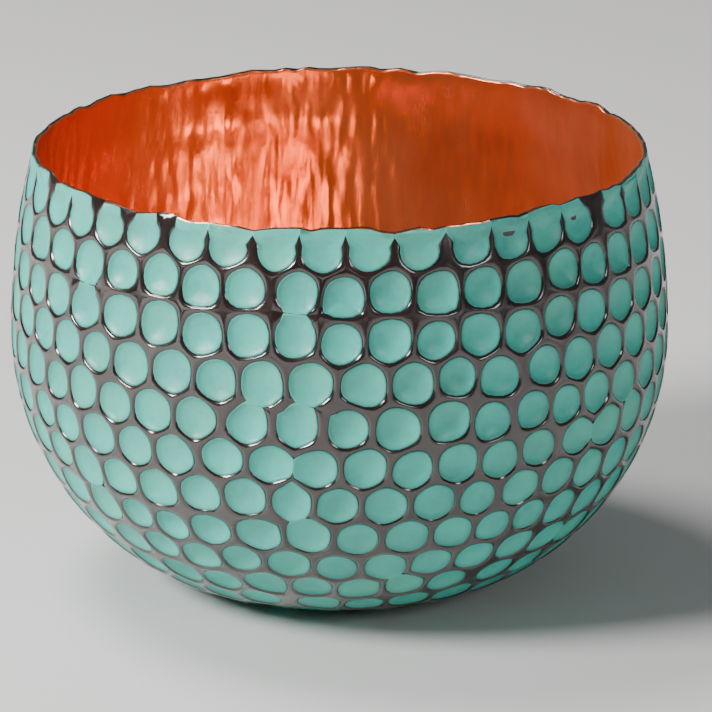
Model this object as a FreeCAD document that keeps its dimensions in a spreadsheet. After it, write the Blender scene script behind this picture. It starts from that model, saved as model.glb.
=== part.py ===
import FreeCAD, Part
import math
import os
import random
from collections import namedtuple

# Small hammered copper bowl. One raised sheet of copper, dark lacquer over its outer face,
# and turquoise enamel laid in every hammer hollow and under the rim.
# Origin: centre of the foot, on the table. +Z up. Millimetres.

V = FreeCAD.Vector
doc = FreeCAD.newDocument("hammered_bowl")

# ---------------------------------------------------------------- driving dimensions
sheet = doc.addObject("Spreadsheet::Sheet", "Dimensions")
DIMENSIONS = [
    ("belly_radius", 65.0, "widest outside radius"),
    ("foot_radius", 20.5, "flat foot"),
    ("heel_arc", 39.0, "arc from the foot outwards"),
    ("belly_arc", 53.0, "arc from the heel to the widest place"),
    ("shoulder_arc", 141.0, "arc from the widest place to the rim"),
    ("rim_height", 88.0, "foot to rim"),
    ("rim_wave", 0.45, "half height of the hand-cut rim's waves"),
    ("wall", 0.8, "copper sheet"),
    ("lacquer", 0.2, "dark coat over the outside"),
    ("enamel", 0.15, "turquoise enamel"),
    ("bare_foot_angle", 5.0, "heel angle where the lacquer stops"),
    ("ball_radius", 10.0, "face of the ball hammer"),
    ("mark_radius", 4.5, "mean radius of a hammer mark"),
    ("mark_variety", 0.1, "share by which the marks' radii differ"),
    ("mark_pitch", 9.2, "mark to mark along a course"),
    ("mark_spacing", 0.985, "least distance of two marks, as a share of their radii together"),
    ("first_course", 5.0, "rim to the first course, along the wall"),
    ("course_step", 8.3, "course to course, along the wall"),
    ("course_count", 13, "courses from rim to foot"),
    ("course_wander", 1.8, "most that a mark strays from its course when struck"),
    ("enamel_margin", 0.4, "bare ridge round each enamelled hollow"),
    ("band_width", 1.8, "enamel band at the rim"),
    ("bare_rim", 1.0, "plain lacquer between the rim and the enamel"),
]
for row, (alias, value, note) in enumerate(DIMENSIONS, start=1):
    sheet.set(f"A{row}", note)
    sheet.set(f"B{row}", str(value))
    sheet.setAlias(f"B{row}", alias)
doc.recompute()


def dim(alias):
    return float(sheet.get(alias))


BELLY, FOOT = dim("belly_radius"), dim("foot_radius")
HEEL, GIRTH, SHOULDER = dim("heel_arc"), dim("belly_arc"), dim("shoulder_arc")
TOP = dim("rim_height")
WALL, LACQUER, ENAMEL = dim("wall"), dim("lacquer"), dim("enamel")
BALL = dim("ball_radius")
BARE = math.radians(dim("bare_foot_angle"))
OVERRUN = 2.0  # blanks stand this much above the rim before it is trimmed

# ---------------------------------------------------------------- outline of the bowl
# The heel, belly and shoulder arcs run tangent into each other. Angles are from straight down.
HEEL_SWEEP = math.asin((GIRTH + FOOT - BELLY) / (GIRTH - HEEL))
WAIST = HEEL + (GIRTH - HEEL) * math.cos(HEEL_SWEEP)  # height of the widest place
RIM_SWEEP = math.asin((TOP - WAIST) / SHOULDER)

HEEL_CENTRE = V(FOOT, 0, HEEL)
BELLY_CENTRE = V(BELLY - GIRTH, 0, WAIST)
SHOULDER_CENTRE = V(BELLY - SHOULDER, 0, WAIST)


def on_arc(centre, radius, angle):
    return centre + V(radius * math.sin(angle), 0, -radius * math.cos(angle))


def arc(centre, radius, start, end):
    points = [on_arc(centre, radius, a) for a in (start, (start + end) / 2, end)]
    return Part.Arc(*points).toShape()


def blank(inset, top=TOP + OVERRUN, bottom=None):
    """Solid of revolution inside the outline, moved inwards by inset, before hammering."""
    heel, girth, shoulder = HEEL - inset, GIRTH - inset, SHOULDER - inset
    rim = math.pi / 2 + math.asin((top - WAIST) / shoulder)
    arcs = [
        arc(HEEL_CENTRE, heel, 0, BARE),
        arc(HEEL_CENTRE, heel, BARE, HEEL_SWEEP),
        arc(BELLY_CENTRE, girth, HEEL_SWEEP, math.pi / 2),
        arc(SHOULDER_CENTRE, shoulder, math.pi / 2, rim),
    ]
    lip, heel_start = on_arc(SHOULDER_CENTRE, shoulder, rim), V(FOOT, 0, inset)
    floor, crown = V(0, 0, inset), V(0, 0, lip.z)
    lines = [Part.makeLine(lip, crown), Part.makeLine(crown, floor), Part.makeLine(floor, heel_start)]
    solid = Part.Face(Part.Wire(arcs + lines)).revolve(V(), V(0, 0, 1), 360)
    if bottom is not None:
        solid = solid.cut(Part.makeCylinder(2 * BELLY, bottom))
    return solid


def wall_point(down):
    """Point of the outline, and its outward normal, at a length down the wall from the rim."""
    shoulder_run, belly_run = SHOULDER * RIM_SWEEP, GIRTH * (math.pi / 2 - HEEL_SWEEP)
    if down < shoulder_run:
        centre, radius, angle = SHOULDER_CENTRE, SHOULDER, RIM_SWEEP - down / SHOULDER
    elif down < shoulder_run + belly_run:
        centre, radius, angle = BELLY_CENTRE, GIRTH, (shoulder_run - down) / GIRTH
    else:
        past = down - shoulder_run - belly_run
        centre, radius, angle = HEEL_CENTRE, HEEL, HEEL_SWEEP - math.pi / 2 - past / HEEL
    normal = V(math.cos(angle), 0, math.sin(angle))
    return centre + normal * radius, normal


# ---------------------------------------------------------------- where the hammer fell
Mark = namedtuple("Mark", "course down turn radius depth")


def turned(vector, turn):
    return V(vector.x * math.cos(turn), vector.x * math.sin(turn), vector.z)


def place(mark):
    point, normal = wall_point(mark.down)
    return turned(point, mark.turn), turned(normal, mark.turn)


def struck_courses():
    """Courses of marks round the wall, each mark straying a little from its place."""
    rng = random.Random(13)
    wander, count = dim("course_wander"), int(dim("course_count"))
    variety, quarter = dim("mark_variety"), 0.25
    marks = []
    for course in range(count):
        down = dim("first_course") + course * dim("course_step")
        edge = course in (0, count - 1)
        stray = 0 if edge else wander
        in_course = round(2 * math.pi * wall_point(down)[0].x / dim("mark_pitch"))
        start = rng.random()
        for i in range(in_course):
            turn = 2 * math.pi * (i + start + rng.uniform(-quarter, quarter)) / in_course
            bounds = (-variety, 0) if edge else (-variety, variety)
            radius = dim("mark_radius") * (1 + rng.uniform(*bounds))
            depth = BALL - math.sqrt(BALL ** 2 - radius ** 2)
            marks.append(Mark(course, down + rng.uniform(-stray, stray), turn, radius, depth))
    return marks


def spread(marks, spacing, passes=60, ease=0.3):
    """Pushes marks apart along the wall until they hardly overlap."""
    last = int(dim("course_count")) - 1
    highest, lowest = (dim("first_course") + k * dim("course_step") for k in (0.6, last - 0.6))
    for _ in range(passes):
        places = [place(m) for m in marks]
        shift = [V() for _ in marks]
        for i, a in enumerate(marks):
            for j in range(i + 1, len(marks)):
                if marks[j].course > a.course + 2:
                    break
                apart = places[i][0] - places[j][0]
                gap = spacing * (a.radius + marks[j].radius)
                if apart.Length < gap:
                    push = apart * (ease * (gap - apart.Length) / apart.Length)
                    shift[i] += push
                    shift[j] -= push
        for i, (m, (point, normal)) in enumerate(zip(marks, places)):
            along = V(-math.sin(m.turn), math.cos(m.turn), 0)
            down = m.down - shift[i].dot(normal.cross(along))
            down = m.down if m.course in (0, last) else min(max(down, highest), lowest)
            turn = m.turn + shift[i].dot(along) / math.hypot(point.x, point.y)
            marks[i] = m._replace(down=down, turn=turn)
    return marks


MARKS = spread(struck_courses(), dim("mark_spacing"))


def ball_centre(mark):
    point, normal = place(mark)
    return point + normal * (BALL - mark.depth), normal


def dent(mark, inset):
    """Cap of the ball that cuts the mark into a blank, concentric at every inset."""
    centre, normal = ball_centre(mark)
    proud = 0.25  # the cap stands this far clear of the blank
    radius = BALL + inset
    latitude = math.degrees(math.asin((BALL - mark.depth + inset - proud) / radius))
    return Part.makeSphere(radius, centre, normal * -1, latitude, 90, 360)


def hammered(inset):
    return blank(inset).cut([dent(m, inset) for m in MARKS])


# ---------------------------------------------------------------- building blocks
def is_crown(face):
    return isinstance(face.Surface, Part.Plane) and face.CenterOfMass.z > TOP


def is_bare_foot(face, inset):
    return face.BoundBox.ZMax < on_arc(HEEL_CENTRE, HEEL - inset, BARE).z + 0.02


def level_edge(faces, high):
    """Level closed edge round the top (high) or the bottom of a set of faces."""
    edges = [e for f in faces for e in f.Edges if not e.Degenerated and e.isClosed()
             and e.BoundBox.ZLength < 1e-3]
    return (max if high else min)(edges, key=lambda e: e.BoundBox.ZMax)


def stitched(faces, bridges):
    """One solid from skins of faces and the ring faces that bridge pairs of level edges."""
    rings = [Part.makeRuledSurface(a, b) for a, b in bridges]
    shell = Part.makeShell(faces + rings)
    shell.sewShape()
    solid = Part.makeSolid(shell)
    if solid.Volume < 0:
        solid.reverse()
    return solid


def rim_trimmer():
    """Block above the rim whose underside has the waves of the hand-cut rim."""
    wave, steps = dim("rim_wave"), 96

    def ring(radius):
        points = []
        for i in range(steps):
            a = 2 * math.pi * i / steps
            lift = 0.5 * math.sin(19 * a) + 0.3 * math.sin(7 * a + 1.0) + 0.2 * math.sin(2 * a + 2.5)
            points.append(V(radius * math.cos(a), radius * math.sin(a), TOP - wave + wave * lift))
        curve = Part.BSplineCurve()
        curve.interpolate(points, PeriodicFlag=True)
        return curve.toShape()

    underside = Part.makeRuledSurface(ring(0.7 * BELLY), ring(1.1 * BELLY))
    return underside.extrude(V(0, 0, 4 * OVERRUN))


def enamel_reach(mark):
    """Radius of the enamel in a mark: the hollow's own radius less the bare ridge."""
    return mark.radius - dim("enamel_margin")


# ---------------------------------------------------------------- sub-parts
def shells():
    """The copper sheet and the lacquer over it, from three hammered skins one inside another."""
    outside, under_lacquer, inside = (hammered(t) for t in (0, LACQUER, LACQUER + WALL))
    foot = [f for f in outside.Faces if is_bare_foot(f, 0)]
    lacquered = [f for f in outside.Faces if not is_bare_foot(f, 0) and not is_crown(f)]
    joint = [f for f in under_lacquer.Faces if not is_bare_foot(f, LACQUER) and not is_crown(f)]
    hollow = [f for f in inside.Faces if not is_crown(f)]
    joint_top, joint_low = level_edge(joint, True), level_edge(joint, False)
    coat = stitched(lacquered + joint, [(level_edge(lacquered, True), joint_top),
                                        (level_edge(lacquered, False), joint_low)])
    copper = stitched(foot + joint + hollow, [(joint_top, level_edge(hollow, True)),
                                              (level_edge(foot, True), joint_low)])
    return copper, coat


def rim_band():
    """Enamel band just under the rim, run together with the enamel of the first course."""
    row = [m for m in MARKS if m.course == 0]
    low = TOP - dim("first_course") - BALL
    outside = blank(-ENAMEL, TOP + OVERRUN, low).cut([dent(m, -ENAMEL) for m in row])
    inside = blank(0, TOP + 2 * OVERRUN, low - OVERRUN).cut([dent(m, 0) for m in row])
    high, width = TOP - dim("bare_rim"), dim("band_width")
    collar = Part.makeCylinder(1.2 * BELLY, width, V(0, 0, high - width))
    discs = []
    for mark in row:
        centre, normal = ball_centre(mark)
        deepest = centre - normal * (BALL + mark.depth)
        discs.append(Part.makeCylinder(enamel_reach(mark), 3 * mark.depth, deepest, normal))
    above = Part.makeCylinder(1.3 * BELLY, 4 * OVERRUN, V(0, 0, high))
    return outside.cut(inside).common(collar.fuse(discs).cut(above))


def island(mark):
    """Enamel in one hollow: a thin dish between two spheres about the ball's centre."""
    centre, normal = ball_centre(mark)
    reach = math.asin(enamel_reach(mark) / BALL)
    side = V(-math.sin(mark.turn), math.cos(mark.turn), 0)

    def at(radius, angle):
        return centre - normal * (radius * math.cos(angle)) + side * (radius * math.sin(angle))

    face = BALL - ENAMEL
    section = Part.Wire([
        Part.Arc(at(BALL, 0), at(BALL, reach / 2), at(BALL, reach)).toShape(),
        Part.makeLine(at(BALL, reach), at(face, reach)),
        Part.Arc(at(face, reach), at(face, reach / 2), at(face, 0)).toShape(),
        Part.makeLine(at(face, 0), at(BALL, 0)),
    ])
    return Part.Face(section).revolve(centre, normal, 360)


def sub_part(name, shape, **sizes):
    """Adds a finished piece to the document, with its sizes bound to the spreadsheet."""
    feature = doc.addObject("Part::Feature", name)
    feature.Label = name
    feature.Placement = FreeCAD.Placement()
    feature.Shape = shape
    for size, alias in sizes.items():
        feature.addProperty("App::PropertyLength", size, "Dimensions")
        feature.setExpression(size, f"Dimensions.{alias}")
    return feature


trimmer = rim_trimmer()
copper, coat = shells()
sub_parts = [
    sub_part("copper_shell", copper.cut(trimmer), Thickness="wall", Height="rim_height"),
    sub_part("ground_coat", coat.cut(trimmer), Thickness="lacquer"),
    sub_part("rim_band", rim_band(), Thickness="enamel", Width="band_width"),
]
for course in range(1, int(dim("course_count"))):
    islands = Part.makeCompound([island(m) for m in MARKS if m.course == course])
    name = f"enamel_course_{course + 1:02d}"
    sub_parts.append(sub_part(name, islands, Thickness="enamel", Margin="enamel_margin"))
doc.recompute()

# ---------------------------------------------------------------- check and write
for obj in doc.Objects:
    if "Invalid" in obj.State or "Error" in obj.State:
        raise RuntimeError(f"{obj.Label} did not compute: {obj.State}")
os.makedirs("parts", exist_ok=True)
for obj in sub_parts:
    if obj.Shape.isNull() or not obj.Shape.isValid():
        raise RuntimeError(f"{obj.Label} has no valid shape")
    obj.Shape.exportStep(f"parts/{obj.Label}.step")
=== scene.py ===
import math
import random
from bisect import bisect_left

import bmesh
import bpy
from bpy.props import FloatProperty, FloatVectorProperty, IntProperty, PointerProperty
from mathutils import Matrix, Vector, geometry, kdtree, noise


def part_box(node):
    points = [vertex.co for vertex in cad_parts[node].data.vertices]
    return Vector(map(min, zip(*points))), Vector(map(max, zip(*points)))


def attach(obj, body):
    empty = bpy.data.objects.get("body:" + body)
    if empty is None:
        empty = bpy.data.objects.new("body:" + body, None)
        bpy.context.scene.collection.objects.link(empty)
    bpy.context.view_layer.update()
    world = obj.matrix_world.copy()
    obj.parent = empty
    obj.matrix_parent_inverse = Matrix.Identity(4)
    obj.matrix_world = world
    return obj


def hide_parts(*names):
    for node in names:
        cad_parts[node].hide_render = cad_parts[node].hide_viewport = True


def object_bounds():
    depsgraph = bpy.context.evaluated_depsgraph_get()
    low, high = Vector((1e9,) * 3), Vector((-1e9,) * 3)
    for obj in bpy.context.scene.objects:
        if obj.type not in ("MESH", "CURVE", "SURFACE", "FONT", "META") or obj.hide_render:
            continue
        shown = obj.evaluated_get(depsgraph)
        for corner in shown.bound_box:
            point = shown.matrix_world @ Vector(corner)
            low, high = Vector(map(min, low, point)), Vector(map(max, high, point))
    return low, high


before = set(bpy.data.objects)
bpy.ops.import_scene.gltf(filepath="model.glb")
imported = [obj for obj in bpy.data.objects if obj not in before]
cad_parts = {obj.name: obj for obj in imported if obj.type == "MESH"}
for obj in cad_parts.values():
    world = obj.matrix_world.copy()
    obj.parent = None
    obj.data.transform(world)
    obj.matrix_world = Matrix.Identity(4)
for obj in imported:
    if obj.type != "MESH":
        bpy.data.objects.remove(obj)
CAD_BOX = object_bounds()

bl_info = {
    "name": "Hammered Bowl",
    "version": (1, 0, 0),
    "blender": (4, 5, 0),
    "location": "View3D > Sidebar > Bowl",
    "description": "Hammered copper bowl with enamelled hollows",
    "category": "Object",
}

MM = 0.001
RINGS = 6  # rings inset in each cell of the net
FIRST_LIFT = 0.62  # height of the first course's ridges, as a share of the others'
FLUTE = 0.13 * MM  # depth of the upright ripples inside
BUMP = 0.07 * MM  # height of the bump behind a hollow
BUMP_RADIUS = 5.2 * MM
COPPER_START = 0.6 * MM  # where the inside of the wall starts below the rim
FOOT_TUCK = 0.9 * MM  # how deep the foot's copper goes under the lacquer
COURSES = sorted(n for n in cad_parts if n.startswith("enamel_course_"))


def settings():
    return bpy.context.scene.bowl


# ------------------------------------------------------------------ settings
def length(name, text, millimetres):
    return FloatProperty(name=name, description=text, default=millimetres * MM, unit="LENGTH",
                         precision=5)


def colour(name, text, rgb):
    return FloatVectorProperty(name=name, description=text, default=rgb, subtype="COLOR", size=3,
                               min=0, max=1)


class BowlSettings(bpy.types.PropertyGroup):
    foot_radius: length("Foot radius", "Flat foot", 20.5)
    heel_arc: length("Heel arc", "Radius of the outline next to the foot", 39)
    belly_arc: length("Belly arc", "Radius of the outline below the widest place", 53)
    shoulder_arc: length("Shoulder arc", "Radius of the outline above the widest place", 141)
    lacquer: length("Lacquer", "Thickness of the dark coat", 0.2)
    wall: length("Wall", "Thickness of the copper sheet", 0.8)
    stand_off: length("Stand-off", "Inside face's depth behind the hammer hollows", 1.1)
    first_course: length("First course", "Rim to the first course of hollows", 5.0)
    bare_foot: length("Bare foot", "Bare copper between the foot and the lacquer", 3.4)
    ridge: length("Ridge", "Half width of the narrowest ridge", 0.6)
    spread: FloatProperty(name="Spread", description="Enamel's reach, as a share of the CAD's",
                          default=1.08)
    dish: length("Dish", "Depth of the enamel's hollow", 1.15)
    edge_depth: length("Edge depth", "Ridge top to the enamel's edge", 0.32)
    band: length("Band", "Width of the enamel band at the rim", 2.6)
    rim_wave: length("Rim wave", "Depth of the waves in the rim", 1.1)
    seed: IntProperty(name="Seed", description="Chance in the hand work", default=5)
    enamel: colour("Enamel", "Turquoise enamel", (0.06, 0.53, 0.43))
    enamel_deep: colour("Enamel deep", "Where the enamel lies thick", (0.055, 0.40, 0.34))
    lacquer_tint: colour("Lacquer tint", "Dark coat", (0.011, 0.006, 0.005))
    copper: colour("Copper", "Polished copper", (0.93, 0.36, 0.15))
    copper_deep: colour("Copper deep", "Warmed copper", (0.88, 0.24, 0.08))
    floor: colour("Floor", "Floor under the bowl", (0.72, 0.70, 0.68))


# ------------------------------------------------------------------ outline
def around(radius, turn, z):
    """Point at a radius and turn round the bowl's axis."""
    return Vector((radius * math.cos(turn), radius * math.sin(turn), z))


class Outline:
    """Outside of the bowl. A place on it is a length down the wall from the rim, and a turn."""

    def __init__(self):
        s = settings()
        low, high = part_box("ground_coat")
        self.belly, self.top = (high.x - low.x) / 2, high.z
        self.foot, self.heel, self.girth, self.shoulder = (
            s.foot_radius, s.heel_arc, s.belly_arc, s.shoulder_arc)
        sweep = math.asin((self.girth + self.foot - self.belly) / (self.girth - self.heel))
        self.waist = self.heel + (self.girth - self.heel) * math.cos(sweep)
        self.rim_sweep = math.asin((self.top - self.waist) / self.shoulder)
        self.shoulder_run = self.shoulder * self.rim_sweep
        self.belly_run = self.girth * (math.pi / 2 - sweep)
        self.heel_sweep = sweep
        self.run = self.shoulder_run + self.belly_run + self.heel * sweep
        self._tabulate()

    def section(self, down):
        """Radius, height and outward normal (radial, up) at a length down the wall."""
        if down < self.shoulder_run:
            angle = self.rim_sweep - down / self.shoulder
            radius, x, z = self.shoulder, self.belly - self.shoulder, self.waist
        elif down < self.shoulder_run + self.belly_run:
            angle = (self.shoulder_run - down) / self.girth
            radius, x, z = self.girth, self.belly - self.girth, self.waist
        else:
            past = min(down, self.run) - self.shoulder_run - self.belly_run
            angle = self.heel_sweep - math.pi / 2 - past / self.heel
            radius, x, z = self.heel, self.foot, self.heel
        r, height = x + radius * math.cos(angle), z + radius * math.sin(angle)
        if down > self.run:
            r -= down - self.run
        return r, height, math.cos(angle), math.sin(angle)

    def radius_at(self, z):
        """Radius at a height above the widest place."""
        return self.belly - self.shoulder + math.sqrt(self.shoulder ** 2 - (z - self.waist) ** 2)

    def down_of(self, point):
        """Length down the wall of the place nearest to a point."""
        r, z = math.hypot(point.x, point.y), point.z
        if z >= self.waist:
            angle = math.atan2(z - self.waist, r - self.belly + self.shoulder)
            return self.shoulder * (self.rim_sweep - angle)
        angle = math.atan2(z - self.waist, r - self.belly + self.girth)
        if angle > self.heel_sweep - math.pi / 2:
            return self.shoulder_run - angle * self.girth
        angle = math.atan2(z - self.heel, r - self.foot)
        past = self.heel_sweep - math.pi / 2 - angle
        return self.shoulder_run + self.belly_run + past * self.heel

    def _tabulate(self, step=0.25 * MM):
        """Scale of the flat map: the log of its radius against length down the wall."""
        count = int((self.run + 30 * MM) / step)
        self.start = -10 * MM
        self.downs, self.depths, depth = [], [], 0.0
        for i in range(count):
            down = self.start + i * step
            if self.section(down)[0] < 2 * MM:
                break
            self.downs.append(down)
            self.depths.append(depth)
            depth += step / self.section(down + step / 2)[0]

    @staticmethod
    def _look_up(value, table, result):
        i = min(max(bisect_left(table, value), 1), len(table) - 1)
        share = (value - table[i - 1]) / (table[i] - table[i - 1])
        return result[i - 1] + share * (result[i] - result[i - 1])

    def flat(self, down, turn):
        """Place on a flat round map of the wall that keeps every small shape."""
        radius = math.exp(-self._look_up(down, self.downs, self.depths))
        return around(radius, turn, 0)

    def unflat(self, flat):
        depth = -math.log(max(flat.length, 1e-9))
        return self._look_up(depth, self.depths, self.downs), math.atan2(flat.y, flat.x)

    def scale(self, down):
        """Metres on the wall for one unit of the flat map."""
        return self.section(down)[0] / self.flat(down, 0).length


def ease(value, low, high):
    """0 below low, 1 above high, smooth between."""
    t = min(max((value - low) / (high - low), 0), 1)
    return t * t * (3 - 2 * t)


def blend(a, b, share):
    return a + (b - a) * share


def drift(*place, size=1.0):
    """Smooth chance value, about -1 to 1."""
    return noise.noise(Vector(place) / size)


class Wall:
    """Turns places on the outline into points, with the waves of the hand-cut rim."""

    RIM_REACH = 6 * MM  # how far down the rim's waves are felt
    LEAST_DIP = 0.15 * MM  # keeps the rim inside the CAD model's box
    SWAY = 0.35  # millimetres the rim wanders in and out

    def __init__(self):
        self.outline = Outline()
        self.wave = settings().rim_wave

    def rim_dip(self, turn):
        """How far the rim lies below its highest place."""
        x, y = math.cos(turn), math.sin(turn)
        slow = drift(x, y, 3.1, size=0.45)
        quick = drift(x, y, 7.7, size=0.09)
        fine = drift(x, y, 1.3, size=0.04)
        dip = 0.55 + 0.4 * slow + 0.8 * quick + 0.35 * fine
        lump = math.exp(-((turn - math.pi / 2 + 0.09) / 0.06) ** 2)
        return self.LEAST_DIP + self.wave * max(dip, 0) * (1 - lump)

    def point(self, down, turn, lift):
        """Point lift above the outline. Near the rim it follows the rim's waves."""
        share = max(0.0, 1 - max(down, 0) / self.RIM_REACH)
        down = down + self.rim_dip(turn) * share
        lift += share * self.SWAY * MM * drift(math.cos(turn), math.sin(turn), 5.0, size=0.16)
        r, z, nr, nz = self.outline.section(down)
        r += nr * lift
        return around(r, turn, z + nz * lift)


# ------------------------------------------------------------------ the net of cells
class Mark:
    """One hammer hollow: where it is, how wide, its course and the chance in its shape."""

    def __init__(self, down, turn, radius, course, rng):
        self.down, self.turn, self.radius, self.course = down, turn, radius, course
        self.deep = rng.uniform(0.85, 1.15)
        self.lean = rng.uniform(-0.07, 0.07)
        self.lean_turn = rng.uniform(0, math.tau)
        holed = math.exp(-((turn + 0.85) / 0.35) ** 2)
        self.bare = rng.random() < 0.05 + 0.6 * holed  # beside the rim, the coat shows through


def separate_parts(bm):
    """Verts of each connected part of a mesh."""
    parts = []
    for vert in bm.verts:
        vert.tag = False
    for first in bm.verts:
        if first.tag:
            continue
        first.tag, found = True, [first]
        for vert in found:
            for edge in vert.link_edges:
                other = edge.other_vert(vert)
                if not other.tag:
                    other.tag = True
                    found.append(other)
        parts.append(found)
    return parts


def islands(node):
    """Middle and radius of each separate island of enamel in a CAD node."""
    bm = bmesh.new()
    bm.from_mesh(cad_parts[node].data)
    bmesh.ops.remove_doubles(bm, verts=bm.verts, dist=1e-6)
    found_islands = []
    for found in separate_parts(bm):
        corners = [[f(v.co[i] for v in found) for i in range(3)] for f in (min, max)]
        middle = (Vector(corners[0]) + Vector(corners[1])) / 2
        found_islands.append((middle, max((v.co - middle).length for v in found)))
    bm.free()
    return sorted(found_islands, key=lambda m: math.atan2(m[0].y, m[0].x))


def scallops():
    """Turn and lowest height of each scallop along the lower edge of the rim's enamel band."""
    low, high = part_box("rim_band")
    deep = low.z + 0.25 * (high.z - low.z)
    points = sorted((math.atan2(v.co.y, v.co.x), v.co.z)
                    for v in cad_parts["rim_band"].data.vertices if v.co.z < deep)
    gap = 2 * MM / high.x
    groups = [[points[0]]]
    for point in points[1:]:
        if point[0] - groups[-1][-1][0] > gap:
            groups.append([])
        groups[-1].append(point)
    if groups[0][0][0] + math.tau - groups[-1][-1][0] < gap:
        groups[0] = [(turn - math.tau, z) for turn, z in groups.pop()] + groups[0]
    return [((g[0][0] + g[-1][0]) / 2, min(z for _, z in g)) for g in groups]


def read_marks(outline):
    """The hammer hollows, from the CAD model's enamel."""
    s, rng = settings(), random.Random(settings().seed)
    marks = []
    for turn, z in scallops():
        low = outline.down_of(Vector((outline.radius_at(z), 0, z)))
        marks.append(Mark(s.first_course, turn, low - s.first_course, 0, rng))
    for course, node in enumerate(COURSES, start=1):
        for middle, radius in islands(node):
            turn = math.atan2(middle.y, middle.x)
            marks.append(Mark(outline.down_of(middle), turn, radius, course, rng))
    return marks


def circumcentre(a, b, c):
    """Centre of the circle through three flat points, kept near their middle."""
    ab, ac = b - a, c - a
    d = 2 * (ab.x * ac.y - ab.y * ac.x)
    x = (ac.y * ab.length_squared - ab.y * ac.length_squared) / d
    y = (ab.x * ac.length_squared - ac.x * ab.length_squared) / d
    middle, centre = (a + b + c) / 3, a + Vector((x, y, 0))
    far = (centre - middle).length
    limit = 0.45 * ab.length
    return centre if far < limit else middle.lerp(centre, limit / far)


class Net:
    """Flat map of the wall, cut into one cell for each mark: its sides run midway between marks."""

    SHORTEST = 0.45 * MM  # shorter sides are collapsed
    NEAR = 9.3 * MM  # only hollows this near each other run together
    RUN_TOGETHER = 0.07  # chance that a hollow does

    def __init__(self):
        self.wall = Wall()
        self.outline = self.wall.outline
        self.marks = read_marks(self.outline)
        self.foot_edge = self.outline.run - settings().bare_foot
        self.mesh = self._build()

    def _seeds(self):
        last = max(m.course for m in self.marks)
        seeds = [(m.down, m.turn) for m in self.marks]
        seeds += [(-m.down, m.turn) for m in self.marks if m.course == 0]
        seeds += [(2 * self.foot_edge - m.down, m.turn) for m in self.marks if m.course == last]
        return seeds

    def _build(self):
        flats = [self.outline.flat(*seed) for seed in self._seeds()]
        real = len(self.marks)
        _, _, triangles, _, _, _ = geometry.delaunay_2d_cdt([f.xy for f in flats], [], [], 0, 1e-7)
        bm = bmesh.new()
        join = bm.verts.layers.float.new("join")
        mark = bm.faces.layers.int.new("mark")
        seeds = [bm.verts.new(f) for f in flats]
        for triangle in triangles:
            bm.faces.new([seeds[i] for i in triangle])
        number = {v: i for i, v in enumerate(seeds)}
        merged = self._merged_pairs(seeds, number)
        middles = {}
        for edge in bm.edges[:]:
            a, b = edge.verts
            new = bmesh.utils.edge_split(edge, a, 0.5)[1]
            middles[new] = (a, b)
            new[join] = 1.0 if frozenset((number[a], number[b])) in merged else 0.0
        hearts = bmesh.ops.poke(bm, faces=bm.faces[:])["verts"]
        for heart in hearts:
            corners = [e.other_vert(heart) for e in heart.link_edges]
            corners = [v for v in corners if v in number]
            heart.co = circumcentre(*(v.co.copy() for v in corners))
        hearts = set(hearts)
        for middle in middles:
            ends = [e.other_vert(middle) for e in middle.link_edges]
            ends = [v for v in ends if v in hearts]
            if len(ends) == 2:
                middle.co = (ends[0].co + ends[1].co) / 2
        for i, seed in enumerate(seeds):
            for face in seed.link_faces:
                face[mark] = i
        bmesh.ops.delete(bm, geom=seeds[real:], context="VERTS")
        bmesh.ops.dissolve_verts(bm, verts=seeds[:real])
        loose = [v for v in bm.verts if not v.link_faces]
        bmesh.ops.delete(bm, geom=loose, context="VERTS")
        bmesh.ops.collapse(bm, edges=[e for e in bm.edges if self._length(e) < self.SHORTEST])
        bmesh.ops.bisect_edges(bm, edges=bm.edges[:], cuts=1)
        self._snap_borders(bm)
        mesh = bpy.data.meshes.new("cell_net")
        bm.to_mesh(mesh)
        bm.free()
        return mesh

    def _merged_pairs(self, seeds, number):
        """Neighbouring hollows whose enamel has run together."""
        rng = random.Random(settings().seed + 1)
        merged, taken = set(), set()
        for i, own in enumerate(self.marks):
            near = sorted(number[e.other_vert(seeds[i])] for e in seeds[i].link_edges)
            near = [j for j in near if j < len(self.marks) and self.marks[j].course > 0
                    and self._apart(own, self.marks[j]) < self.NEAR]
            if own.course == 0 or i in taken or not near or rng.random() > self.RUN_TOGETHER:
                continue
            j = rng.choice(near)
            if j not in taken:
                merged.add(frozenset((i, j)))
                taken |= {i, j}
        return merged

    def _apart(self, a, b):
        return (self.wall.point(a.down, a.turn, 0) - self.wall.point(b.down, b.turn, 0)).length

    def _length(self, edge):
        """Length on the wall of an edge of the flat map."""
        down, _ = self.outline.unflat((edge.verts[0].co + edge.verts[1].co) / 2)
        return edge.calc_length() * self.outline.scale(down)

    def _snap_borders(self, bm):
        """Puts the net's upper border on the rim and its lower border on the foot's edge."""
        for vert in bm.verts:
            if vert.is_boundary:
                down, turn = self.outline.unflat(vert.co)
                high = down < self.foot_edge / 2
                vert.co = self.outline.flat(0 if high else self.foot_edge, turn)


NET = []


def net():
    """The net of cells, worked out once."""
    if not NET:
        NET.append(Net())
    return NET[0]


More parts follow.
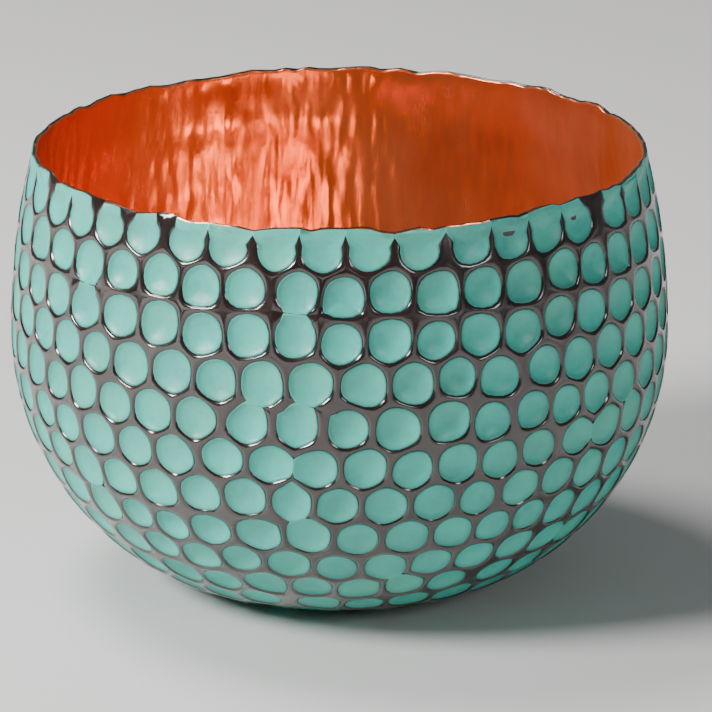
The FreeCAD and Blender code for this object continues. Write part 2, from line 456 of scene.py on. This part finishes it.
class Cell:
    """A face of the net, measured from its mark outwards to each corner of its border."""

    SQUARENESS = 12  # higher follows the straight sides of the cell more closely

    def __init__(self, bm, face):
        n = net()
        self.mark = n.marks[face[bm.faces.layers.int["mark"]]]
        self.face = face
        self.heart = n.outline.flat(self.mark.down, self.mark.turn)
        self.scale = n.outline.scale(self.mark.down)
        join = bm.verts.layers.float["join"]
        self.borders = [v.co.copy() for v in face.verts]
        self.far = [(b - self.heart).length * self.scale for b in self.borders]
        self.join = [self._joined(v, join) for v in face.verts]
        self.reach = self._reach()
        self.at_rim = [n.outline.unflat(b)[0] < 0.3 * MM for b in self.borders]

    def _joined(self, vert, join):
        """How far enamel covers the ridge at a corner of the border, 0 to 1."""
        n = net()
        share = min(1.0, 1.7 * vert[join])
        if self.mark.course:
            return share
        down, turn = n.outline.unflat(vert.co)
        off_middle = abs(math.remainder(turn - self.mark.turn, math.tau)) * n.outline.belly
        band = rim_band_width(turn)
        side = ease(off_middle, 2.6 * MM, 3.6 * MM)
        depth = blend(settings().band, band, side)
        return max(share, ease(depth - down, -0.4 * MM, 0.6 * MM)) if down < 5 * MM else share

    def _reach(self):
        """Radius of the enamel towards each corner of the border."""
        s = settings()
        reach = []
        for border, far in zip(self.borders, self.far):
            side = math.atan2(border.y - self.heart.y, border.x - self.heart.x)
            round_limit = s.spread * self.mark.radius
            round_limit *= 1 + self.mark.lean * math.cos(2 * (side - self.mark.lean_turn))
            limits = (far - s.ridge, round_limit)
            power = self.SQUARENESS
            reach.append(sum(limit ** -power for limit in limits) ** (-1 / power))
        count = len(reach)
        smooth = reach
        for _ in range(2):
            smooth = [(smooth[i - 1] + 2 * smooth[i] + smooth[(i + 1) % count]) / 4
                      for i in range(count)]
        return [blend(min(r, f - 0.7 * s.ridge), f, j)
                for r, f, j in zip(smooth, self.far, self.join)]

    def at(self, i, distance, lift, rim_lift, gap):
        """Point at a distance from the mark towards corner i, lifted from the outline.

        Beside the rim the wall isn't hammered, and the point is lifted by rim_lift instead.
        gap is the share of the bare edge at the rim that is kept clear."""
        n = net()
        share = distance / self.far[i]
        down, turn = n.outline.unflat(self.heart.lerp(self.borders[i], share))
        if self.mark.course == 0:
            down = max(down, gap * bare_rim(turn))
            lift = blend(rim_lift, lift * FIRST_LIFT, ease(down, 0.9 * MM, 4.2 * MM))
        return n.wall.point(down, turn, lift)


def rim_band_width(turn):
    """Width of the enamel band at the rim: uneven, and broken between some scallops."""
    x, y = math.cos(turn), math.sin(turn)
    width = settings().band * (1 + 0.35 * drift(x, y, 2.0, size=0.12))
    torn = 0.35 * math.exp(-((turn + 2.36) / 0.4) ** 2)  # worst on one side
    whole = ease(drift(x, y, 9.0, size=0.14) + 0.3 - torn, -0.08, 0.08)
    return blend(-0.6 * MM, width, whole)


def bare_rim(turn):
    """Width of the dark edge left between the rim and the enamel."""
    return max(0.05, 0.32 + 0.3 * drift(math.cos(turn), math.sin(turn), 4.0, size=0.11)) * MM


# ------------------------------------------------------------------ pieces
def finish_piece(name, bm, material, nodes):
    """Makes an object of a bmesh: smooth faces, a material, and its frame."""
    for face in bm.faces:
        face.smooth = True
    mesh = bpy.data.meshes.new(name)
    bm.to_mesh(mesh)
    bm.free()
    piece = bpy.data.objects.new(name, mesh)
    bpy.context.scene.collection.objects.link(piece)
    mesh.materials.append(material)
    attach(piece, "root")
    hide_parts(*nodes)
    return piece


def face_outwards(bm):
    """Turns the faces of each separate part away from the middle of the bowl.

    Parts that touch at a single vert are turned together, so one of them can stay facing in."""
    middle = Vector((0, 0, CAD_BOX[1].z / 2))
    bmesh.ops.recalc_face_normals(bm, faces=bm.faces)
    for verts in separate_parts(bm):
        faces = list({f: None for v in verts for f in v.link_faces})
        facing = sum(f.calc_area() * f.normal.dot(f.calc_center_median() - middle) for f in faces)
        if facing < 0:
            bmesh.ops.reverse_faces(bm, faces=faces)


def ringed_cells(bm, count):
    """Insets every cell of the net count times and pokes its middle.

    Gives (cell, rings of verts from the border inwards, middle vert) for each cell."""
    cells = [(Cell(bm, face), [list(face.verts)]) for face in bm.faces]
    faces = [cell.face for cell, _ in cells]
    for _ in range(count):
        bmesh.ops.inset_individual(bm, faces=faces, thickness=1e-5, use_even_offset=False)
        for cell, rings in cells:
            rings.append(inner_ring(cell.face, rings[-1]))
    middles = {}
    for vert in bmesh.ops.poke(bm, faces=faces)["verts"]:
        ring = frozenset(e.other_vert(vert) for e in vert.link_edges)
        middles[ring] = vert
    return [(cell, rings, middles[frozenset(rings[-1])]) for cell, rings in cells]


def inner_ring(face, outer):
    """Verts of an inset face, in the order of the ring outside it."""
    inner = set(face.verts)
    found = []
    for vert in outer:
        found.append(next(e.other_vert(vert) for e in vert.link_edges if e.other_vert(vert) in inner))
    return found


def shape_cells(cells, profile, gap=0):
    """Puts every vert in place. profile(cell, i) lists (distance, lift, lift beside the rim) from
    the border inwards, the middle last."""
    for cell, rings, middle in cells:
        for i in range(len(rings[0])):
            *places, heart = profile(cell, i)
            for ring, place in zip(rings, places):
                ring[i].co = cell.at(i, *place, gap)
        middle.co = cell.at(0, *heart, gap)


def enamel_dish(cell, share):
    """Height of the enamel at a share of its radius."""
    s = settings()
    return -s.edge_depth - s.dish * cell.mark.deep * (1 - share * share)


def coat_profile(cell, i):
    """Lacquer over a ridge: rounded up from each hollow, sagging where it is wide, then down."""
    s = settings()
    far, join = cell.far[i], cell.join[i]
    gap = max(far - cell.reach[i], 0.2 * MM)
    reach = far - gap
    lip = min(0.85 * gap, 0.75 * MM)
    sag = -0.1 * MM * ease(gap, 0.75 * MM, 1.6 * MM)
    under = -s.edge_depth - 0.3 * MM
    rim, deep = -0.05 * MM, -0.05 * MM if cell.mark.bare else -0.6 * MM
    return [
        (far, blend(sag, under, join), rim),
        (reach + lip + 0.4 * (gap - lip), blend(0.7 * sag, under, join), rim),
        (reach + 0.62 * lip, blend(-0.05 * MM, under, join), rim),
        (reach + 0.3 * lip, blend(-0.17 * MM, under, join), rim),
        (reach + 0.03 * lip, blend(-s.edge_depth - 0.03 * MM, under, join), blend(rim, deep, 0.5)),
        (reach - 0.25 * MM, under, deep),
        (0.55 * reach, enamel_dish(cell, 0.55) - 0.25 * MM, deep),
        (0, enamel_dish(cell, 0) - 0.25 * MM, deep),
    ]


def enamel_profile(cell, i):
    """Enamel in a hollow: tucked in at its edge, a thin lip, then a smooth dish."""
    s = settings()
    far, reach, join = cell.far[i], cell.reach[i], cell.join[i]
    edge, free = -s.edge_depth, 1 - join
    rim = 0.1 * MM
    return [
        (reach + 0.02 * MM * free, edge - 0.14 * MM * free, -0.1 * MM if cell.at_rim[i] else rim),
        (reach - 0.03 * MM * free, edge - 0.02 * MM * free, 0.4 * rim if cell.at_rim[i] else rim),
        (reach - 0.16 * MM, edge + 0.06 * MM * free, rim),
        (reach - 0.45 * MM, enamel_dish(cell, 1 - 0.45 * MM / reach) + 0.02 * MM, rim),
        (0.72 * reach, enamel_dish(cell, 0.72), rim),
        (0.45 * reach, enamel_dish(cell, 0.45), rim),
        (0.2 * reach, enamel_dish(cell, 0.2), rim),
        (0, enamel_dish(cell, 0), rim),
    ]


def build_coat():
    bm = bmesh.new()
    bm.from_mesh(net().mesh)
    shape_cells(ringed_cells(bm, RINGS), coat_profile)
    lap_over_rim(bm)
    face_outwards(bm)
    return bm


def lap_over_rim(bm):
    """Carries the lacquer over the outer part of the rim's cut edge."""
    n = net()
    low = n.outline.top - 4 * MM
    edges = [e for e in bm.edges if e.is_boundary and min(v.co.z for v in e.verts) > low]
    for down, lift in ((-0.05, -0.12), (-0.06, -0.5), (0.15, -0.66)):
        made = bmesh.ops.extrude_edge_only(bm, edges=edges)["geom"]
        edges = [g for g in made if isinstance(g, bmesh.types.BMEdge) and g.is_boundary]
        for vert in {v: None for e in edges for v in e.verts}:
            turn = math.atan2(vert.co.y, vert.co.x)
            vert.co = n.wall.point(down * MM, turn, lift * MM)


def build_enamel(course):
    """The enamel of one course, a separate island for each hollow unless they have run together."""
    bm = bmesh.new()
    bm.from_mesh(net().mesh)
    mark = bm.faces.layers.int["mark"]
    others = [f for f in bm.faces if net().marks[f[mark]].course != course]
    bmesh.ops.delete(bm, geom=others, context="FACES")
    bmesh.ops.split_edges(bm, edges=bm.edges[:])
    # Per-vert value, 1 at the enamel's edge and 0 in its middle. The material darkens the edge with it.
    # This is partly the dark coat under thinner enamel and partly painted shade in the crease at the
    # ridge's foot.
    thin_edge_shade = bm.verts.layers.float.new("thin_edge_shade")
    cells = ringed_cells(bm, RINGS)
    for cell, rings, middle in cells:
        for ring, value in zip(rings, (1, 1, 0.85, 0.3, 0, 0, 0)):
            for vert, join in zip(ring, cell.join):
                vert[thin_edge_shade] = value * (1 - join)
    shape_cells(cells, enamel_profile, gap=1)
    bmesh.ops.remove_doubles(bm, verts=bm.verts, dist=1e-6)
    face_outwards(bm)
    return bm


# ------------------------------------------------------------------ copper
class Bumps:
    """Height of the inside's bumps, one behind each hammer hollow."""

    def __init__(self):
        n = net()
        self.tree = kdtree.KDTree(len(n.marks))
        for i, m in enumerate(n.marks):
            self.tree.insert(n.wall.point(m.down, m.turn, 0), i)
        self.tree.balance()

    def height(self, point):
        total = 0.0
        for _, _, far in self.tree.find_n(point, 2):
            total = max(total, BUMP * (1 - (far / BUMP_RADIUS) ** 2))
        return total


def copper_profile(outline):
    """(down, lift) along the copper's section: under the enamel, over the rim, down the inside."""
    s = settings()
    outside, inside = -s.lacquer, -s.lacquer - s.wall
    corner = 0.14 * MM
    lip = [(0.5 * MM, outside), (corner, outside), (0.3 * corner, outside - 0.3 * corner),
           (0, outside - corner), (0, (outside + inside) / 2), (0, inside + corner),
           (0.3 * corner, inside + 0.3 * corner), (corner, inside)]
    rows, start = 120, COPPER_START
    wall = [start + (outline.run - start) * i / rows for i in range(rows + 1)]
    return lip + [(down, inside - s.stand_off * ease(down, 0, 13 * MM)) for down in wall]


def build_copper(columns=700):
    n = net()
    profile = copper_profile(n.outline)
    bm = bmesh.new()
    row = bm.verts.layers.int.new("row")
    verts = []
    for i, (down, lift) in enumerate(profile):
        r, z, nr, nz = n.outline.section(down)
        verts.append(bm.verts.new((r + nr * lift, 0, z + nz * lift)))
        verts[-1][row] = i
    edges = [bm.edges.new(pair) for pair in zip(verts, verts[1:])]
    bmesh.ops.spin(bm, geom=verts + edges, cent=(0, 0, 0), axis=(0, 0, 1), angle=math.tau,
                   steps=columns, use_merge=True)
    bumps = Bumps()
    for vert in bm.verts:
        down, lift = profile[vert[row]]
        turn = math.atan2(vert.co.y, vert.co.x)
        if down >= COPPER_START:
            lift -= bumps.height(n.wall.point(down, turn, 0)) * ease(down, 0, 5 * MM)
            lift -= FLUTE * flute(down, turn) * ease(down, 0, 3 * MM)
        vert.co = n.wall.point(down, turn, lift)
    boundary = [e for e in bm.edges if e.is_boundary]
    low = min(boundary, key=lambda e: e.verts[0].co.z).verts[0].co.z
    ring = [e for e in boundary if e.verts[0].co.z < low + 3 * MM]
    bmesh.ops.holes_fill(bm, edges=ring, sides=0)
    build_foot(bm)
    bmesh.ops.recalc_face_normals(bm, faces=bm.faces)
    return bm


def flute(down, turn):
    """Upright ripples left inside by the raising stakes."""
    x, y = math.cos(turn), math.sin(turn)
    wide, narrow = drift(32 * x, 32 * y, down / (9 * MM)), drift(60 * x, 60 * y, down / (6 * MM))
    return (wide + 0.6 * narrow) * (1 - ease(down, 60 * MM, 105 * MM))


def build_foot(bm, columns=96):
    """Bare copper foot: a flat disc and the start of the heel, up to the lacquer."""
    n, s = net(), settings()
    disc = bmesh.ops.create_circle(bm, cap_ends=True, segments=columns, radius=s.foot_radius)
    rim = list(dict.fromkeys(e for v in disc["verts"] for e in v.link_edges if e.is_boundary))
    steps = 4
    for i in range(1, steps + 1):
        made = bmesh.ops.extrude_edge_only(bm, edges=rim)["geom"]
        rim = [g for g in made if isinstance(g, bmesh.types.BMEdge) and g.is_boundary]
        r, z, _, _ = n.outline.section(n.outline.run - s.bare_foot * i / steps)
        for vert in {v: None for e in rim for v in e.verts}:
            vert.co = around(r, math.atan2(vert.co.y, vert.co.x), z)
    made = bmesh.ops.extrude_edge_only(bm, edges=rim)["geom"]
    r, z, nr, nz = n.outline.section(n.foot_edge)
    r, z = r - FOOT_TUCK * nr, z - FOOT_TUCK * nz
    for vert in [g for g in made if isinstance(g, bmesh.types.BMVert)]:
        vert.co = around(r, math.atan2(vert.co.y, vert.co.x), z)


# ------------------------------------------------------------------ materials
class Nodes:
    """Short words for building a node material."""

    def __init__(self, name):
        self.material = bpy.data.materials.new(name)
        self.material.use_nodes = True
        self.tree = self.material.node_tree
        self.shader = self.tree.nodes["Principled BSDF"]
        self.place = self.add("TexCoord").outputs["Object"]

    def add(self, kind, **inputs):
        node = self.tree.nodes.new("ShaderNode" + kind)
        for name, value in inputs.items():
            self.set(node, name.replace("_", " "), value)
        return node

    def set(self, node, name, value):
        socket = node.inputs[name]
        if isinstance(value, bpy.types.NodeSocket):
            self.tree.links.new(value, socket)
        else:
            socket.default_value = value

    def shade(self, **inputs):
        for name, value in inputs.items():
            self.set(self.shader, name.replace("_", " "), value)

    def layer(self, name):
        """Value stored on the mesh."""
        node = self.add("Attribute")
        node.attribute_name = name
        return node.outputs["Fac"]

    def noise(self, scale, detail=3, roughness=0.5, stretch=(1, 1, 1)):
        mapping = self.add("Mapping", Vector=self.place, Scale=stretch)
        node = self.add("TexNoise", Vector=mapping.outputs[0], Scale=scale, Detail=detail,
                        Roughness=roughness)
        return node.outputs["Fac"]

    def ramp(self, factor, low, high, start, end):
        """Maps factor from low..high to start..end, held at both ends."""
        node = self.add("MapRange", Value=factor)
        for name, value in (("From Min", low), ("From Max", high), ("To Min", start), ("To Max", end)):
            node.inputs[name].default_value = value
        return node.outputs["Result"]

    def times(self, first, second):
        node = self.add("Math")
        node.operation = "MULTIPLY"
        for socket, value in zip(node.inputs, (first, second)):
            self.tree.links.new(value, socket)
        return node.outputs[0]

    def mix(self, factor, first, second):
        node = self.add("Mix")
        node.data_type = "RGBA"
        colours = [s for s in node.inputs if s.type == "RGBA"]
        node.inputs[0].default_value = 0.5
        self.tree.links.new(factor, node.inputs[0])
        for socket, value in zip(colours, (first, second)):
            if isinstance(value, bpy.types.NodeSocket):
                self.tree.links.new(value, socket)
            else:
                socket.default_value = (*value, 1)
        return [s for s in node.outputs if s.type == "RGBA"][0]

    def bump(self, height, strength, distance, under=None):
        node = self.add("Bump", Height=height, Strength=strength, Distance=distance)
        if under is not None:
            self.set(node, "Normal", under)
        return node.outputs["Normal"]


def enamel_material():
    s = settings()
    n = Nodes("turquoise_enamel")
    cloud = n.ramp(n.noise(90, 2), 0.35, 0.65, 0, 1)
    fine = n.ramp(n.noise(700, 4, 0.6), 0.35, 0.7, 0, 1)
    tint = n.mix(cloud, s.enamel, s.enamel_deep)
    pale = tuple(min(1, c * 1.12 + 0.02) for c in s.enamel)
    tint = n.mix(n.ramp(fine, 0, 1, 0, 0.35), tint, pale)
    olive = n.ramp(n.noise(60, 2), 0.4, 0.75, 0, 0.35)
    tint = n.mix(olive, tint, (0.12, 0.40, 0.24))
    # Darker enamel towards each island's edge: partly the dark coat showing through thin enamel, partly
    # painted shade in the crease where the enamel meets the ridge.
    edge = tuple(c * 0.35 for c in s.enamel)
    tint = n.mix(n.ramp(n.layer("thin_edge_shade"), 0, 1, 0, 0.75), tint, edge)
    height = n.add("SeparateXYZ", Vector=n.place).outputs["Z"]
    top = CAD_BOX[1].z
    near_rim = n.ramp(height, top - 5 * MM, top - 1.5 * MM, 0, 1)
    smear = n.ramp(n.noise(190, 5, 0.65, stretch=(1, 1, 2)), 0.52, 0.68, 0, 0.6)
    tint = n.mix(n.times(near_rim, smear), tint, (0.11, 0.13, 0.12))
    specks = n.ramp(n.noise(420, 5, 0.7), 0.70, 0.76, 0, 0.6)
    tint = n.mix(specks, tint, s.lacquer_tint)
    normal = n.bump(n.noise(1500, 4, 0.6), 0.25, 0.05 * MM)
    normal = n.bump(n.noise(350, 2), 0.35, 0.15 * MM, normal)
    n.shade(Base_Color=tint, Roughness=n.ramp(fine, 0, 1, 0.34, 0.52), Normal=normal)
    n.shader.inputs["Specular IOR Level"].default_value = 0.5
    return n.material


def lacquer_material():
    s = settings()
    n = Nodes("dark_lacquer")
    patch = n.ramp(n.noise(160, 3), 0.35, 0.7, 0, 1)
    warm = tuple(c * f for c, f in zip(s.lacquer_tint, (2.4, 2.0, 1.9)))
    tint = n.mix(patch, s.lacquer_tint, warm)
    normal = n.bump(n.noise(900, 4, 0.6), 0.3, 0.06 * MM)
    n.shade(Base_Color=tint, Roughness=n.ramp(patch, 0, 1, 0.17, 0.28), Normal=normal)
    n.shader.inputs["Specular IOR Level"].default_value = 0.8
    n.shader.inputs["Coat Weight"].default_value = 0.7
    n.shader.inputs["Coat Roughness"].default_value = 0.12
    return n.material


def copper_material():
    s = settings()
    n = Nodes("copper")
    warm = n.ramp(n.noise(45, 3), 0.35, 0.65, 0, 1)
    tint = n.mix(warm, s.copper, s.copper_deep)
    streaks = n.noise(160, 3, 0.6, stretch=(1, 1, 0.2))
    normal = n.bump(n.noise(650, 2, 0.5, stretch=(1, 1, 0.2)), 0.6, 0.1 * MM)
    normal = n.bump(n.noise(2500, 3, 0.6), 0.15, 0.02 * MM, normal)
    n.shade(Base_Color=tint, Roughness=n.ramp(streaks, 0.35, 0.7, 0.14, 0.28), Normal=normal)
    n.shader.inputs["Metallic"].default_value = 0.87
    return n.material


def floor_material():
    s = settings()
    n = Nodes("floor")
    shade = tuple(c * 0.95 for c in s.floor)
    tint = n.mix(n.noise(3, 2), s.floor, shade)
    n.shade(Base_Color=tint)
    n.shader.inputs["Roughness"].default_value = 0.6
    return n.material


MATERIALS = {}


def material(name, make):
    """Each material is made once."""
    if name not in MATERIALS:
        MATERIALS[name] = make()
    return MATERIALS[name]


# ------------------------------------------------------------------ operators
class BOWL_OT_copper(bpy.types.Operator):
    """Builds the copper sheet: bright inside, rim and bare foot"""
    bl_idname = "bowl.copper"
    bl_label = "Copper sheet"

    def execute(self, context):
        finish_piece("copper_sheet", build_copper(), material("copper", copper_material),
                     ["copper_shell"])
        return {"FINISHED"}


class BOWL_OT_coat(bpy.types.Operator):
    """Builds the dark lacquer, with its net of ridges"""
    bl_idname = "bowl.coat"
    bl_label = "Dark lacquer"

    def execute(self, context):
        finish_piece("dark_coat", build_coat(), material("lacquer", lacquer_material),
                     ["ground_coat"])
        return {"FINISHED"}


class BOWL_OT_enamel(bpy.types.Operator):
    """Builds the enamel of every course of hollows, and the band at the rim"""
    bl_idname = "bowl.enamel"
    bl_label = "Enamel"

    def execute(self, context):
        for course, node in enumerate(["rim_band"] + COURSES):
            finish_piece(f"{node}_glaze", build_enamel(course),
                         material("enamel", enamel_material), [node])
        return {"FINISHED"}


class BOWL_OT_stage(bpy.types.Operator):
    """Puts down the floor, the lights and the camera"""
    bl_idname = "bowl.stage"
    bl_label = "Stage"

    LENS, SENSOR = 255, 36  # millimetres
    TILT = 17.71  # degrees the camera looks down
    AWAY = 1.0
    AIM = (0.025, 0.497)  # shares of the width and the height

    def execute(self, context):
        scene = context.scene
        bm = bmesh.new()
        bmesh.ops.create_grid(bm, x_segments=4, y_segments=4, size=4)
        mesh = bpy.data.meshes.new("floor")
        bm.to_mesh(mesh)
        bm.free()
        floor = bpy.data.objects.new("floor", mesh)
        mesh.materials.append(floor_material())
        scene.collection.objects.link(floor)
        self.light(scene, "key", (-0.85, -0.45, 0.7), 0.4, 23)
        self.light(scene, "fill", (0.8, -0.8, 0.55), 0.4, 3)
        self.light(scene, "top", (-0.4, 0.25, 1.0), 0.45, 9)
        world = bpy.data.worlds.new("studio")
        scene.world = world
        world.use_nodes = True
        world.node_tree.nodes["Background"].inputs["Color"].default_value = (0.9, 0.92, 1, 1)
        world.node_tree.nodes["Background"].inputs["Strength"].default_value = 0.12
        self.camera(scene)
        return {"FINISHED"}

    @staticmethod
    def light(scene, name, place, size, watts):
        data = bpy.data.lights.new(name, "AREA")
        data.shape, data.size, data.energy = "DISK", size, watts
        lamp = bpy.data.objects.new(name, data)
        lamp.location = place
        lamp.rotation_euler = (Vector((0, 0, 0.05)) - Vector(place)).to_track_quat("-Z", "Y").to_euler()
        scene.collection.objects.link(lamp)

    @staticmethod
    def camera(scene):
        low, high = CAD_BOX
        height, width = high.z - low.z, high.x - low.x
        data = bpy.data.cameras.new("camera")
        data.lens, data.sensor_width = BOWL_OT_stage.LENS, BOWL_OT_stage.SENSOR
        camera = bpy.data.objects.new("camera", data)
        side, up = BOWL_OT_stage.AIM
        aim = Vector((side * width, 0, low.z + up * height))
        tilt, distance = math.radians(BOWL_OT_stage.TILT), BOWL_OT_stage.AWAY
        back = Vector((0, -math.cos(tilt), math.sin(tilt)))
        camera.location = aim + back * distance
        camera.rotation_euler = (-back).to_track_quat("-Z", "Y").to_euler()
        data.clip_start, data.clip_end = 0.01, 50
        scene.collection.objects.link(camera)
        scene.camera = camera


class BOWL_PT_panel(bpy.types.Panel):
    """Lists the bowl's sizes, colours and pieces"""
    bl_idname = "BOWL_PT_panel"
    bl_label = "Hammered Bowl"
    bl_space_type = "VIEW_3D"
    bl_region_type = "UI"
    bl_category = "Bowl"

    def draw(self, context):
        for operator in OPERATORS:
            self.layout.operator(operator.bl_idname)
        for name in BowlSettings.__annotations__:
            self.layout.prop(context.scene.bowl, name)


OPERATORS = (BOWL_OT_copper, BOWL_OT_coat, BOWL_OT_enamel, BOWL_OT_stage)
CLASSES = (BowlSettings, *OPERATORS, BOWL_PT_panel)


def register():
    for cls in CLASSES:
        bpy.utils.register_class(cls)
    bpy.types.Scene.bowl = PointerProperty(type=BowlSettings)


def unregister():
    del bpy.types.Scene.bowl
    for cls in reversed(CLASSES):
        bpy.utils.unregister_class(cls)


def main():
    register()
    bpy.ops.bowl.copper()
    bpy.ops.bowl.coat()
    bpy.ops.bowl.enamel()
    bpy.ops.bowl.stage()


if __name__ == "__main__":
    main()
